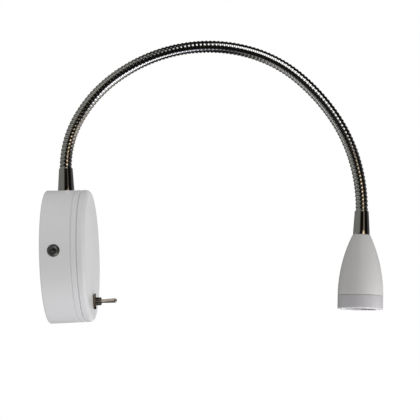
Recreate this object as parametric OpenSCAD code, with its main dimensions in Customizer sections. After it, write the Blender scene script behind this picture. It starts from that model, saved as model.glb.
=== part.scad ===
// Flexible wall light: a round base on the wall holds a driver and a toggle switch,
// and a ribbed gooseneck carries a small spot head.
// Millimetres, +X out of the wall, +Z up, origin at the centre of the wall face.

/* [Base] */
// Diameter of the base at the wall
base_d = 80; // [76:1:100]
// Depth of the base, from the wall to its front face
base_depth = 26.5; // [26:0.5:34]
// Draft of the side wall, in degrees
base_draft = 1; // [0:0.25:2]
// Thickness of the side wall at the seam
base_wall = 2.2; // [1.6:0.1:3]
// Thickness of the front wall
front_wall = 2; // [1.6:0.1:3]
// Radius of the front edge
front_round = 2.5; // [1:0.25:4]
// Distance of the seam from the wall
seam_x = 21.5; // [21:0.1:23]
// How far the front cover's rim enters the casing
rim_depth = 3; // [2:0.25:3.5]
// Thickness of the front cover's rim
rim_wall = 1.4; // [1:0.1:2]
// Distance of the trim groove from the wall
groove_x = 18.1; // [14:0.1:19]
// Depth of the trim groove and of the bevels at the seam
groove_depth = 0.5; // [0.2:0.1:0.8]

/* [Wall bracket] */
// Thickness of the bracket's sheet
bracket_t = 1.5; // [1:0.1:2]
// Distance between the two wall screws
screw_spacing = 50; // [44:1:54]
// Width of the wall screw slots
slot_w = 4.5; // [4:0.1:5.5]
// Length of the wall screw slots, end to end
slot_l = 9; // [7:0.5:10]
// Width of the two ears
ear_w = 10; // [8:0.5:12]
// Length of the two ears, from the wall
ear_l = 14; // [12:0.5:16]

/* [Side screws] */
// Distance of the side screws from the wall
side_screw_x = 8.4; // [7:0.1:9.5]
// Thread diameter of the side screws
side_screw_d = 4; // [3:0.5:4]
// Length of the side screws under the head
side_screw_l = 7; // [6:0.5:9]
// Head diameter of the side screws
side_head_d = 6.9; // [6:0.1:8]
// Head height of the side screws
side_head_h = 2.2; // [1.6:0.1:2.6]
// Socket size of the side screws, across flats
side_socket = 2.5; // [2:0.5:3]
// Depth of the flat seat under the side screws' heads
side_seat = 0.9; // [0.6:0.1:1.2]

/* [Cable entry] */
// Diameter of the cable hole in the grommet
cable_d = 8; // [6:0.5:10]
// Wall of the grommet's sleeve
grommet_wall = 2; // [1.5:0.25:3]
// Overhang and thickness of the grommet's flange
grommet_flange = 2; // [1:0.25:2.5]

/* [Terminals] */
// Pitch of the terminal block's ways
terminal_pitch = 8; // [7:0.5:9]
// Height of the terminal block above the bracket
terminal_h = 11; // [9:0.5:12]
// Width of the terminal block
terminal_w = 11; // [9:0.5:12]
// Height of the terminal block's middle above the base's centre
terminal_z = 20.5; // [20:0.25:22]
// Outer diameter of the brass tubes
terminal_tube_d = 4.2; // [3.6:0.1:5]
// Diameter of the clamping screws
terminal_screw_d = 2.5; // [2:0.1:3]
// Diameter of the earth screw's head
earth_head_d = 7; // [6:0.5:8]

/* [Driver] */
// Length of the driver, across the base
driver_l = 40; // [34:1:44]
// Width of the driver, up the base
driver_w = 26; // [22:1:27]
// Depth of the driver behind the front wall
driver_h = 15; // [13:0.5:16]
// Wall of the driver's case and lid
driver_wall = 1.2; // [0.8:0.1:1.6]
// Thickness of the driver's board
board_t = 1.2; // [0.8:0.1:1.6]
// Diameter of the driver's capacitor
capacitor_d = 8; // [6:0.5:9]
// Side of the driver's transformer
coil_side = 13; // [10:0.5:14]

/* [Switch] */
// Distance of the switch below the base's centre
switch_drop = 27.5; // [24.5:0.5:28]
// Diameter of the threaded bushing
bushing_d = 5; // [4.9:0.1:6]
// How far the bushing stands out of its nut
bushing_out = 3; // [2:0.25:4]
// Hexagon of the switch nuts, across flats
switch_nut_w = 8.2; // [7.5:0.1:9]
// Thickness of the front nut
switch_nut_t = 1.5; // [1.2:0.1:2.5]
// Thickness of the washer under the front nut
switch_washer_t = 0.3; // [0.3:0.1:0.8]
// Thickness of the nut behind the front wall
back_nut_t = 1.5; // [1:0.1:2]
// Width of the switch's case, the way the lever moves
switch_w = 13.2; // [12:0.2:14]
// Height of the switch's case
switch_h = 8; // [7:0.2:9]
// Depth of the switch's case
switch_depth = 9.5; // [9:0.25:10.5]
// Length of the lever from its pivot to its tip
lever_l = 13.4; // [12:0.2:17]
// Diameter of the lever at the bushing
lever_d = 2; // [1.6:0.1:2.1]
// Diameter of the lever near its tip
lever_tip_d = 2.6; // [2.2:0.1:2.8]
// Angle between the lever's two positions
lever_throw = 25; // [18:1:26]

/* [Gooseneck] */
// Distance of the gooseneck from the wall
neck_x = 11.3; // [11:0.1:14]
// Diameter over the ribs
neck_d = 7.4; // [6.5:0.1:8]
// Depth of the grooves between the ribs
rib_depth = 0.4; // [0.2:0.05:0.5]
// Diameter of the bore
neck_bore_d = 3.8; // [3.6:0.1:4]
// Length of one link along the bend
link_l = 30.9; // [24:0.1:40]
// Number of ribs on one link
link_ribs = 13; // [10:1:16]
// Diameter of the lead inside
lead_d = 3.2; // [2.6:0.1:3.4]

/* [Collars] */
// Length of the base collar
base_collar_l = 14.25; // [12:0.25:20]
// Length of the head collar
head_collar_l = 14.25; // [12:0.25:20]
// Diameter of the collars at their wide end
collar_d = 10; // [9.4:0.1:10.2]
// Wall of the collars at the gooseneck
collar_wall = 0.45; // [0.3:0.05:0.8]
// Depth to which the gooseneck sits in a collar
collar_grip = 9; // [7:0.5:10]
// Diameter of the collars' threaded nipple
nipple_d = 8; // [7.5:0.1:8.2]
// Length of the collars' threaded nipple
nipple_l = 9; // [8.5:0.25:10]
// Hexagon of the nipple nuts, across flats
nipple_nut_w = 11; // [10.5:0.1:11.4]
// Thickness of the nipple nuts
nipple_nut_t = 3; // [2.5:0.1:3.2]
// Thickness of the washer in the base
neck_washer_t = 0.8; // [0.5:0.1:1]

/* [Head] */
// Largest diameter of the head
head_d = 27; // [26:0.5:34]
// Diameter of the head at its collar
head_top_d = 10.4; // [10.4:0.1:12]
// Length of the head
head_l = 44.5; // [43:0.5:56]
// Length of the front ring
ring_l = 8; // [7:0.5:10]
// Thickness of the head's top, which the nipple passes
head_top_t = 6; // [5.7:0.1:6.2]
// Wall of the shell around the heat sink
shell_wall = 1.1; // [0.9:0.1:1.6]
// Distance of the heat sink from the top of the head
sink_t = 22; // [20:0.5:23]
// Thickness of the heat sink
sink_h = 4; // [3:0.5:5]
// Thickness of the light's board
led_board_t = 1.6; // [1:0.1:2]
// Side of the light source
led_side = 3.5; // [3:0.1:5]
// Diameter of the ring's opening
opening_d = 18.6; // [16:0.2:18.8]
// Thickness of the ring's front lip
lip_t = 1.6; // [1.2:0.1:2.4]
// Thickness of the ring's threaded spigot
spigot_wall = 1.1; // [0.9:0.1:1.4]
// Length of the ring's threaded spigot
spigot_l = 5.5; // [4:0.5:6.5]
// Thickness of the lens's flange
lens_flange_t = 1.8; // [1.2:0.1:2.4]
// Wall of the lens holder
holder_wall = 0.7; // [0.5:0.1:1]

/* [Clearances] */
// Gap of a seated fit, on each side
seat_gap = 0.1; // [0.05:0.01:0.15]
// Gap of a thread or of a pin in its hole, on each side
thread_gap = 0.05; // [0.02:0.01:0.08]
// Gap around a screw in a plain hole, on each side
screw_gap = 0.2; // [0.1:0.05:0.3]
// Gap of a ball in its socket
socket_gap = 0.15; // [0.1:0.01:0.2]
// Gap between the bracket and the casing
bracket_gap = 0.5; // [0.3:0.1:0.8]

/* [Hidden] */
$fn = 64;
LINKS = 9;
// How far each link bends, in degrees, from the base to the head
bends = [30, 22.9, 18.5, 18.8, 19.7, 22.4, 15.2, 18.4, 17.2];
rib_sides = 12;
lead_sides = 8;
wire_sides = 8;
wire_d = 1.4;
// Length that a cutting shape runs past the face it opens
past = 1;
// Radius at a hexagon's corners, from its width across flats
function hex_r(flats) = flats / 2 / cos(30);

// Base
function base_r(x) = base_d / 2 - x * tan(base_draft);
casing_r = base_r(seam_x) - base_wall;
back_bevel = 0.6;
bracket_r = casing_r - bracket_gap;
ear_y = sqrt(pow(casing_r - screw_gap, 2) - pow(ear_w / 2, 2));
side_seat_y = base_r(side_screw_x) - side_seat;
side_seat_margin = 0.3;
front_in_x = base_depth - front_wall;

// Base collar and its seat
seat_margin = 0.3;
seat_r = collar_d / 2 + seat_margin;
seat_z = sqrt(pow(base_r(neck_x + seat_r), 2) - pow(seat_r, 2)) - seat_gap;
washer_margin = 0.7;
washer_r = nipple_nut_w / 2 + washer_margin;
boss_r = washer_r + seat_gap;
nipple_spare = 1.2;
boss_t = nipple_l - neck_washer_t - nipple_nut_t - nipple_spare;
boss_z = seat_z - boss_t;
nipple_end = seat_z - nipple_l;
neck_start = [neck_x, 0, seat_z + base_collar_l];

// Gooseneck
neck_r = neck_d / 2;
groove_r = neck_r - rib_depth;
rib_pitch = link_l / link_ribs;
ball_rise = 0.05;
ball_r = groove_r + ball_rise;
socket_r = ball_r + socket_gap;
// Share of the rib pitch from a joint's centre to the next link's first rib
lip_share = 0.35;
socket_lip = lip_share * rib_pitch;
grip_ribs = floor(collar_grip / rib_pitch);
bore_step = 0.1;
lead_start = ball_r + socket_gap;
lead_reach = sqrt(pow(lead_start - 2 * socket_gap, 2) - pow(lead_d / 2, 2));
collar_bore_r = neck_r + thread_gap;
lead_room = 0.5;

// Heading at the start of a link, counted from 1, in degrees from straight up towards the room
function heading(i) = i == 1 ? 0 : heading(i - 1) + bends[i - 2];
function along(h) = [sin(h), 0, cos(h)];
function inward(h) = [cos(h), 0, -sin(h)];
function bend_r(i) = link_l / (bends[i - 1] * PI / 180);
function turned(i, s) = heading(i) + bends[i - 1] * min(max(s / link_l, 0), 1);
// Centre of a link's bend
function bend_centre(i) = link_start(i) + bend_r(i) * inward(heading(i));
// Point of the centre line at a length s from a link's start, straight beyond its two ends
function centre_line(i, s) =
    bend_centre(i) - bend_r(i) * inward(turned(i, s))
    + (s - min(max(s, 0), link_l)) * along(turned(i, s));
function link_start(i) = i == 1 ? neck_start : centre_line(i - 1, link_l);
function link_ring(i, s, r, sides) =
    [for (k = [0 : sides - 1]) let (a = 360 * k / sides)
        centre_line(i, s) + r * (cos(a) * inward(turned(i, s)) + sin(a) * [0, 1, 0])];
head_heading = heading(LINKS) + bends[LINKS - 1];
head_start = centre_line(LINKS, link_l);

// Switch
switch_z = -switch_drop;
case_front = front_in_x - back_nut_t;
case_back = case_front - switch_depth;
case_wall = 1;
flange_t = 0.8;
washer_overhang = 0.4;
nut_x = base_depth + switch_washer_t;
bushing_x = nut_x + switch_nut_t + bushing_out;
pivot_depth = 3.5;
pivot_x = bushing_x - pivot_depth;
lever_ball_r = 1.6;
bushing_bore_r = lever_ball_r + seat_gap;
mouth_flare = 0.35;
bushing_mouth_r = bushing_bore_r + mouth_flare;
pin_r = 0.4;
pin_inset = 0.2;
lug_pitch = 4.7;
lug_t = 0.8;
lug_w = 2;
lug_l = 4.5;
lug_end = case_back - lug_l;
rocker_t = 0.5;
rocker_w = 4;
rocker_l = 10.4;
rocker_rise = 0.5;
rocker_tilt = 7;
rocker_lift = 1.4;
rocker_x = case_back + case_wall + rocker_lift;
tail_gap = 1.2;
lever_tail_l = pivot_x - rocker_x - tail_gap;
lever_tail_d = 1.2;

// Driver
driver_x = front_in_x - driver_h;
driver_z = -1;
lid_lip = 1.5;
board_x = driver_x + driver_wall + lid_lip;
board_front = board_x + board_t;
part_room = 0.6;
part_h = front_in_x - driver_wall - board_front - part_room;
driver_in_l = driver_l - 2 * driver_wall;
driver_in_w = driver_w - 2 * driver_wall;
driver_bottom = driver_z - driver_w / 2;
driver_top = driver_z + driver_w / 2;
post_r = 1.5;
post_inset = 2.6;
wire_hole_depth = 8;
wire_hole_x = front_in_x - wire_hole_depth;
switched_hole_y = 10;
neutral_hole_y = 13;
lead_hole_y = -12;

// Terminals
terminal_l = 3 * terminal_pitch;
terminal_bottom = terminal_z - terminal_w / 2;
tube_rise = 4.5;
tube_x = bracket_t + tube_rise;
tube_wall = 0.7;
tube_bore_r = terminal_tube_d / 2 - tube_wall;
tube_inset = 1;
tube_l = terminal_w - 2 * tube_inset;
clamp_offset = terminal_w / 4;
clamp_sink = 1;
clamp_slot_w = 0.5;
clamp_slot_t = 0.6;
earth_yz = [17, -17];
earth_shank_d = 4;
earth_head_h = 2.2;
earth_slot_w = 1;

// Head, along its own axis from its top
shell_l = head_l - ring_l - seat_gap;
head_r = head_d / 2;
ogive_rise = head_r - head_top_d / 2;
ogive_r = (pow(ogive_rise, 2) + pow(shell_l, 2)) / (2 * ogive_rise);
function shell_r(t) = head_r - ogive_r + sqrt(pow(ogive_r, 2) - pow(shell_l - t, 2));
ogive_steps = 18;
nut_room = 0.25;
nut_room_r = hex_r(nipple_nut_w) + nut_room;
sink_r = shell_r(sink_t) - shell_wall;
sink_ledge = 1.6;
spigot_step = 0.35;
spigot_r = sink_r + spigot_step;
spigot_t = shell_l - spigot_l;
board_top = sink_t + sink_h;
led_top = board_top + led_board_t;
led_h = 0.8;
led_dome_r = 1.3;
ring_bore_r = spigot_r - spigot_wall;
holder_r = ring_bore_r - seat_gap;
board_r = holder_r - holder_wall - seat_gap;
lip_top = head_l - lip_t;
holder_top = lip_top - lens_flange_t;
lens_top = led_top + led_h + led_dome_r + seat_gap;
lens_throat_r = 3.2;
lens_cup_gap = 0.5;
lens_cup_t = 2;
board_screw_r = 1;
board_screw_grip = 2.8;
board_screw_head_r = 1.8;
board_screw_head_h = 1.2;
board_screw_pcd = 14;
sink_bore_gap = 0.3;
sink_bore_r = lead_d / 2 + sink_bore_gap;
ring_edge = 0.8;

// Routes of the wires in the base, through points chosen by hand between their ends
wire_gap = 0.2;
wire_entry = 3;
clamp_z = terminal_bottom + wire_entry;
live_route = [
    [tube_x, -terminal_pitch, clamp_z],
    [tube_x, -terminal_pitch, terminal_bottom - 1.6],
    [tube_x - 0.8, -terminal_pitch - 0.4, 8],
    [5, -9, 0],
    [5, -9, -10],
    [5.6, -7.4, -19],
    [lug_end - 3.9, -lug_pitch - 0.9, switch_z + 2.6],
    [lug_end - 2.3, -lug_pitch - 0.1, switch_z + 0.2],
    [lug_end - wire_gap, -lug_pitch, switch_z]];
switched_route = [
    [lug_end - wire_gap, 0, switch_z],
    [lug_end - 2.1, 0.2, switch_z + 0.3],
    [lug_end - 3.3, 2.4, switch_z + 3],
    [lug_end - 2.5, 5.4, switch_z + 6.4],
    [lug_end + 0.5, 8, switch_z + 8.4],
    [wire_hole_x - 3, switched_hole_y - 0.4, driver_bottom - 3.8],
    [wire_hole_x - 0.6, switched_hole_y, driver_bottom - 2.6],
    [wire_hole_x, switched_hole_y, driver_bottom - 0.8],
    [wire_hole_x, switched_hole_y, driver_bottom + 1.6]];
neutral_route = [
    [tube_x, terminal_pitch, clamp_z],
    [tube_x, terminal_pitch, terminal_bottom + 0.6],
    [tube_x + 0.6, terminal_pitch + 0.4, terminal_bottom - 0.8],
    [tube_x + 2.4, terminal_pitch + 1.4, driver_top + 1.5],
    [tube_x + 6, terminal_pitch + 3.4, driver_top + 1.5],
    [wire_hole_x - 2.4, neutral_hole_y - 0.6, driver_top + 1.5],
    [wire_hole_x - 0.6, neutral_hole_y - 0.2, driver_top + 1.1],
    [wire_hole_x, neutral_hole_y, driver_top - 0.1],
    [wire_hole_x, neutral_hole_y, driver_top - 1.6]];
lead_route = [
    [wire_hole_x, lead_hole_y, driver_top - 1.6],
    [wire_hole_x, lead_hole_y, driver_top + 1.4],
    [wire_hole_x, lead_hole_y + 1, driver_top + 5.5],
    [wire_hole_x - 0.6, -8, nipple_end - 8.2],
    [neck_x + 3.4, -4, nipple_end - 4.2],
    [neck_x + 1.2, -1.2, nipple_end - 1.6]];

// Shared shapes

// Turns what is drawn along +Z so that it points out of the wall
module out_of_wall() {
    rotate([0, 90, 0]) children();
}

// Puts what is drawn along +Z at the head's top, pointing down the head's axis
module at_head(t = 0) {
    translate(head_start + (head_collar_l + t) * along(head_heading))
        rotate([0, head_heading, 0]) children();
}

module ring(r_out, r_in, h) {
    difference() {
        cylinder(r = r_out, h = h);
        translate([0, 0, -past]) cylinder(r = r_in, h = h + 2 * past);
    }
}

module hex_nut(flats, bore_r, h) {
    difference() {
        cylinder(r = hex_r(flats), h = h, $fn = 6);
        translate([0, 0, -past]) cylinder(r = bore_r, h = h + 2 * past);
    }
}

// A closed skin over rings of points, each ring turning the same way about the path
module skin(rings) {
    n = len(rings);
    m = len(rings[0]);
    sides = [for (k = [0 : n - 2], j = [0 : m - 1])
        let (a = k * m + j, b = k * m + (j + 1) % m)
        each [[a, a + m, b + m], [a, b + m, b]]];
    first = [for (j = [1 : m - 2]) [0, j, j + 1]];
    last = [for (j = [1 : m - 2]) [(n - 1) * m, (n - 1) * m + j + 1, (n - 1) * m + j]];
    polyhedron([for (r = rings) each r], concat(sides, first, last), convexity = 6);
}

function unit(v) = v / norm(v);
// Direction of a route at one of its points
function route_way(p, k) = unit(p[min(k + 1, len(p) - 1)] - p[max(k - 1, 0)]);
function square_to(u, t) = unit(u - (u * t) * t);
// Rings along a route, each turned as little as possible from the one before
function route_rings(p, r, sides) =
    [for (k = 0, u = square_to([0.3, 0.8, 0.5], route_way(p, 0)); k < len(p);
          k = k + 1, u = k < len(p) ? square_to(u, route_way(p, k)) : u)
        let (v = cross(route_way(p, k), u))
        [for (j = [0 : sides - 1]) let (a = 360 * j / sides) p[k] + r * (cos(a) * u + sin(a) * v)]];

// Base

module wall_bracket() {
    color("silver") difference() {
        union() {
            out_of_wall() cylinder(r = bracket_r, h = bracket_t);
            for (side = [-1, 1])
                translate([0, side * (ear_y - bracket_t / 2) - bracket_t / 2, -ear_w / 2])
                    cube([ear_l, bracket_t, ear_w]);
        }
        for (side = [-1, 1]) {
            translate([-past, side * screw_spacing / 2, 0]) wall_slot();
            translate([side_screw_x, side * (ear_y - bracket_t - past), 0])
                rotate([-90 * side, 0, 0])
                    cylinder(r = side_screw_d / 2 + thread_gap, h = bracket_t + 2 * past);
        }
        translate([-past, 0, 0])
            out_of_wall() cylinder(r = cable_d / 2 + grommet_wall + seat_gap, h = bracket_t + 2 * past);
        translate([-past, earth_yz[0], earth_yz[1]])
            out_of_wall() cylinder(d = earth_shank_d + 2 * thread_gap, h = bracket_t + 2 * past);
    }
}

module wall_slot() {
    run = slot_l - slot_w;
    depth = bracket_t + 2 * past;
    for (end = [-1, 1])
        translate([0, end * run / 2, 0]) out_of_wall() cylinder(d = slot_w, h = depth);
    translate([0, -run / 2, -slot_w / 2]) cube([depth, run, slot_w]);
}

module cable_grommet() {
    sleeve_r = cable_d / 2 + grommet_wall;
    color("dimgray") difference() {
        union() {
            translate([seat_gap, 0, 0]) out_of_wall() cylinder(r = sleeve_r, h = bracket_t);
            translate([bracket_t, 0, 0])
                out_of_wall() cylinder(r = sleeve_r + grommet_flange, h = grommet_flange);
        }
        translate([-past, 0, 0])
            out_of_wall() cylinder(d = cable_d, h = bracket_t + grommet_flange + 2 * past);
    }
}

module casing() {
    profile = [
        [casing_r, 0],
        [base_r(0) - back_bevel, 0],
        [base_r(back_bevel), back_bevel],
        [base_r(groove_x - groove_depth), groove_x - groove_depth],
        [base_r(groove_x) - groove_depth, groove_x],
        [base_r(groove_x + groove_depth), groove_x + groove_depth],
        [base_r(seam_x - groove_depth), seam_x - groove_depth],
        [base_r(seam_x) - groove_depth, seam_x],
        [casing_r, seam_x]];
    color("white") difference() {
        union() {
            out_of_wall() rotate_extrude() polygon(profile);
            translate([neck_x, 0, boss_z])
                cylinder(r = boss_r, h = casing_r + base_wall / 2 - boss_z);
        }
        translate([neck_x, 0, 0]) cylinder(r = nipple_d / 2 + seat_gap, h = base_d);
        translate([neck_x, 0, seat_z]) cylinder(r = seat_r, h = base_d);
        for (side = [-1, 1])
            at_side_screw(side) {
                cylinder(r = side_head_d / 2 + side_seat_margin, h = base_d);
                translate([0, 0, -base_d / 4])
                    cylinder(r = side_screw_d / 2 + screw_gap, h = base_d / 2);
            }
    }
}

// Puts what is drawn along +Z at a side screw's seat, pointing out of the casing
module at_side_screw(side) {
    translate([side_screw_x, side * side_seat_y, 0]) rotate([-90 * side, 0, 0]) children();
}

module front_cover() {
    front_x = seam_x + seat_gap;
    edge_r = base_r(base_depth - front_round) - front_round;
    rim_r = casing_r - seat_gap;
    profile = concat(
        [[rim_r - rim_wall, seam_x - rim_depth],
         [rim_r, seam_x - rim_depth],
         [rim_r, front_x],
         [base_r(front_x) - groove_depth, front_x],
         [base_r(front_x + groove_depth), front_x + groove_depth]],
        [for (a = [0 : 7.5 : 90])
            [edge_r + front_round * cos(a), base_depth - front_round + front_round * sin(a)]],
        [[0, base_depth],
         [0, front_in_x],
         [rim_r - rim_wall, front_in_x]]);
    color("white") difference() {
        out_of_wall() rotate_extrude() polygon(profile);
        translate([0, 0, switch_z]) out_of_wall() cylinder(r = bushing_d / 2 + seat_gap, h = 2 * base_depth);
        translate([neck_x, 0, boss_z]) cylinder(r = boss_r + seat_gap, h = base_d);
    }
}

module side_screws() {
    edge = 0.35 * side_head_h;
    color("lightgray") for (side = [-1, 1])
        at_side_screw(side) difference() {
            union() {
                translate([0, 0, -side_screw_l]) cylinder(d = side_screw_d, h = side_screw_l + edge);
                button_head(side_head_d / 2, side_head_h, edge);
            }
            translate([0, 0, side_head_h / 3])
                cylinder(r = hex_r(side_socket), h = side_head_h, $fn = 6);
        }
}

// A screw head with a straight edge under a round crown, flat in the middle
module button_head(r, h, edge) {
    crown_r = (pow(r, 2) + pow(h - edge, 2)) / (2 * (h - edge));
    top_r = 0.45 * r;
    crown = [for (k = [0 : 8]) let (x = r - (r - top_r) * k / 8)
        [x, h - crown_r + sqrt(pow(crown_r, 2) - pow(x, 2))]];
    rotate_extrude() polygon(concat([[0, 0], [r, 0]], crown, [[0, crown[8][1]]]));
}

// Terminals

module terminal_block() {
    color("ivory") difference() {
        translate([bracket_t, -terminal_l / 2, terminal_bottom]) cube([terminal_h, terminal_l, terminal_w]);
        for (way = [-1 : 1]) {
            translate([tube_x, way * terminal_pitch, terminal_bottom - past])
                cylinder(r = terminal_tube_d / 2 + thread_gap, h = terminal_w + 2 * past);
            for (row = [-1, 1])
                translate([tube_x, way * terminal_pitch, terminal_z + row * clamp_offset])
                    out_of_wall() cylinder(r = terminal_screw_d / 2 + screw_gap, h = terminal_h);
        }
    }
}

module terminal_tubes() {
    color("gold") for (way = [-1 : 1])
        difference() {
            translate([tube_x, way * terminal_pitch, terminal_z - tube_l / 2])
                ring(terminal_tube_d / 2, tube_bore_r, tube_l);
            for (row = [-1, 1])
                translate([tube_x, way * terminal_pitch, terminal_z + row * clamp_offset])
                    out_of_wall() cylinder(r = terminal_screw_d / 2 + thread_gap, h = terminal_h);
        }
}

module terminal_screws() {
    start = tube_x + wire_d / 2 + seat_gap;
    shank = bracket_t + terminal_h - clamp_sink - start;
    color("silver") for (way = [-1 : 1], row = [-1, 1])
        translate([start, way * terminal_pitch, terminal_z + row * clamp_offset]) difference() {
            out_of_wall() cylinder(d = terminal_screw_d, h = shank);
            translate([shank - clamp_slot_t, -terminal_screw_d, -clamp_slot_w / 2])
                cube([clamp_slot_t + past, 2 * terminal_screw_d, clamp_slot_w]);
        }
}

module earth_screw() {
    color("silver") translate([0, earth_yz[0], earth_yz[1]]) difference() {
        union() {
            translate([seat_gap, 0, 0]) out_of_wall() cylinder(d = earth_shank_d, h = bracket_t);
            translate([bracket_t, 0, 0])
                out_of_wall() button_head(earth_head_d / 2, earth_head_h, earth_head_h / 3);
        }
        translate([bracket_t + earth_head_h / 2, -earth_head_d, -earth_slot_w / 2])
            cube([earth_head_h, 2 * earth_head_d, earth_slot_w]);
    }
}

// Driver

module driver_box(x, depth, inset) {
    translate([x, -driver_l / 2 + inset, driver_bottom + inset])
        cube([depth, driver_l - 2 * inset, driver_w - 2 * inset]);
}

module driver_case() {
    start = driver_x + driver_wall;
    color("dimgray") {
        difference() {
            driver_box(start, driver_h - driver_wall, 0);
            driver_box(start - past, driver_h - 2 * driver_wall + past, driver_wall);
            at_wire_holes() cylinder(r = wire_d / 2 + screw_gap, h = 2 * driver_wall);
            translate([wire_hole_x, lead_hole_y, driver_top - 1.5 * driver_wall])
                cylinder(r = lead_d / 2 + screw_gap, h = 3 * driver_wall);
        }
        for (y = [-1, 1], z = [-1, 1])
            translate([board_front, y * (driver_in_l / 2 - post_inset),
                       driver_z + z * (driver_in_w / 2 - post_inset)])
                out_of_wall() cylinder(r = post_r, h = front_in_x - driver_wall / 2 - board_front);
    }
}

// The two mains wires' holes in the driver's case, drawn upwards
module at_wire_holes() {
    translate([wire_hole_x, switched_hole_y, driver_bottom - driver_wall / 2]) children();
    translate([wire_hole_x, neutral_hole_y, driver_top - 1.5 * driver_wall]) children();
}

module driver_lid() {
    lip_inset = driver_wall + seat_gap;
    color("gray") difference() {
        union() {
            driver_box(driver_x, driver_wall, 0);
            driver_box(driver_x, driver_wall + lid_lip, lip_inset);
        }
        driver_box(driver_x + driver_wall, lid_lip + past, lip_inset + driver_wall);
    }
}

module driver_board() {
    color("darkgreen") driver_box(board_x, board_t, driver_wall + seat_gap);
}

module driver_coil() {
    core = coil_side / 3;
    color("peru") translate([board_front, 0, driver_z]) {
        translate([0, -coil_side / 2, -core / 2]) cube([part_h, coil_side, core]);
        translate([part_h * 0.15, 0, 0]) out_of_wall() cylinder(d = coil_side * 0.85, h = part_h * 0.7);
    }
}

module driver_capacitor() {
    away = coil_side / 2 + part_room + capacitor_d / 2;
    color("midnightblue") translate([board_front, -away, driver_z])
        out_of_wall() cylinder(d = capacitor_d, h = part_h);
}

// Switch

// Puts what is drawn along +Z on the switch's axis, pointing out of the wall
module at_switch(x) {
    translate([x, 0, switch_z]) out_of_wall() children();
}

module switch_block(x, depth, inset) {
    translate([x, -switch_w / 2 + inset, switch_z - switch_h / 2 + inset])
        cube([depth, switch_w - 2 * inset, switch_h - 2 * inset]);
}

module switch_case() {
    depth = switch_depth - flange_t;
    color("firebrick") difference() {
        switch_block(case_back, depth, 0);
        switch_block(case_back + case_wall, depth, case_wall);
        for (k = [-1 : 1]) switch_lug(k, thread_gap);
    }
}

// One soldering lug, from its tail to its contact, widened on each side by a gap
module switch_lug(k, gap = 0) {
    top = (k == 0 ? rocker_lift : rocker_lift / 2) - rocker_t / 2 - seat_gap;
    translate([lug_end, k * lug_pitch - lug_t / 2 - gap, switch_z - lug_w / 2 - gap])
        cube([lug_l + case_wall + top, lug_t + 2 * gap, lug_w + 2 * gap]);
}

module switch_terminals() {
    color("silver") for (k = [-1 : 1]) switch_lug(k);
}

module switch_bushing() {
    color("silver") difference() {
        union() {
            switch_block(case_front - flange_t, flange_t, 0);
            at_switch(case_front - flange_t / 2)
                cylinder(d = bushing_d, h = bushing_x - case_front + flange_t / 2);
        }
        at_switch(case_front - flange_t - past) cylinder(r = bushing_bore_r, h = 2 * switch_depth);
        at_switch(pivot_x + lever_ball_r / 2)
            cylinder(r1 = bushing_bore_r, r2 = bushing_mouth_r, h = bushing_x - pivot_x - lever_ball_r / 2);
        at_switch(case_front - flange_t)
            cylinder(r1 = bushing_mouth_r, r2 = bushing_bore_r,
                     h = pivot_x - lever_ball_r / 2 - case_front + flange_t);
        translate([pivot_x, 0, switch_z - bushing_d])
            cylinder(r = pin_r + thread_gap / 2, h = 2 * bushing_d);
    }
}

module switch_pin() {
    pin_l = bushing_d - 2 * pin_inset;
    color("silver") translate([pivot_x, 0, switch_z - pin_l / 2]) cylinder(r = pin_r, h = pin_l);
}

module switch_back_nut() {
    color("silver") at_switch(case_front) hex_nut(switch_nut_w, bushing_d / 2 + thread_gap, back_nut_t);
}

module switch_washer() {
    color("silver") at_switch(base_depth)
        ring(switch_nut_w / 2 + washer_overhang, bushing_d / 2 + seat_gap, switch_washer_t);
}

module switch_nut() {
    color("silver") at_switch(nut_x) hex_nut(switch_nut_w, bushing_d / 2 + thread_gap, switch_nut_t);
}

// The contact blade that tips from one outer lug to the other
module switch_rocker() {
    arm = rocker_l / 2;
    half_t = rocker_t / 2;
    outline = [[-half_t, 0], [rocker_rise - half_t, arm], [rocker_rise + half_t, arm],
        [half_t, 0], [rocker_rise + half_t, -arm], [rocker_rise - half_t, -arm]];
    color("gold") translate([rocker_x, 0, switch_z - rocker_w / 2])
        rotate([0, 0, rocker_tilt]) linear_extrude(rocker_w) polygon(outline);
}

module switch_lever() {
    tip_r = lever_tip_d / 2;
    stem_l = lever_l - tip_r;
    color("silver") translate([pivot_x, 0, switch_z]) rotate([0, 0, -lever_throw / 2]) difference() {
        union() {
            sphere(r = lever_ball_r);
            out_of_wall() cylinder(d1 = lever_d, d2 = lever_tip_d, h = stem_l);
            translate([stem_l, 0, 0]) sphere(r = tip_r);
            translate([-lever_tail_l, 0, 0]) out_of_wall() cylinder(d = lever_tail_d, h = lever_tail_l);
        }
        translate([0, 0, -lever_l / 2]) cylinder(r = pin_r + thread_gap, h = lever_l);
    }
}

// Wires in the base

module live_wire() {
    color("saddlebrown") skin(route_rings(live_route, wire_d / 2, wire_sides));
}

module switched_wire() {
    color("sienna") skin(route_rings(switched_route, wire_d / 2, wire_sides));
}

module neutral_wire() {
    color("royalblue") skin(route_rings(neutral_route, wire_d / 2, wire_sides));
}

// Gooseneck

// A collar drawn from the gooseneck's end at z = 0 to its seat and down its nipple
module collar(l) {
    rim_r = collar_bore_r + collar_wall;
    color("silver") difference() {
        union() {
            cylinder(r1 = rim_r, r2 = collar_d / 2, h = l);
            translate([0, 0, collar_grip]) cylinder(d = nipple_d, h = l - collar_grip + nipple_l);
        }
        translate([0, 0, -past]) cylinder(r = collar_bore_r, h = collar_grip + past);
        translate([0, 0, -past]) cylinder(r = lead_d / 2 + lead_room, h = l + nipple_l + 2 * past);
    }
}

module base_collar() {
    translate(neck_start) rotate([180, 0, 0]) collar(base_collar_l);
}

module neck_washer() {
    color("silver") translate([neck_x, 0, boss_z - neck_washer_t])
        ring(washer_r, nipple_d / 2 + seat_gap, neck_washer_t);
}

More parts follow.
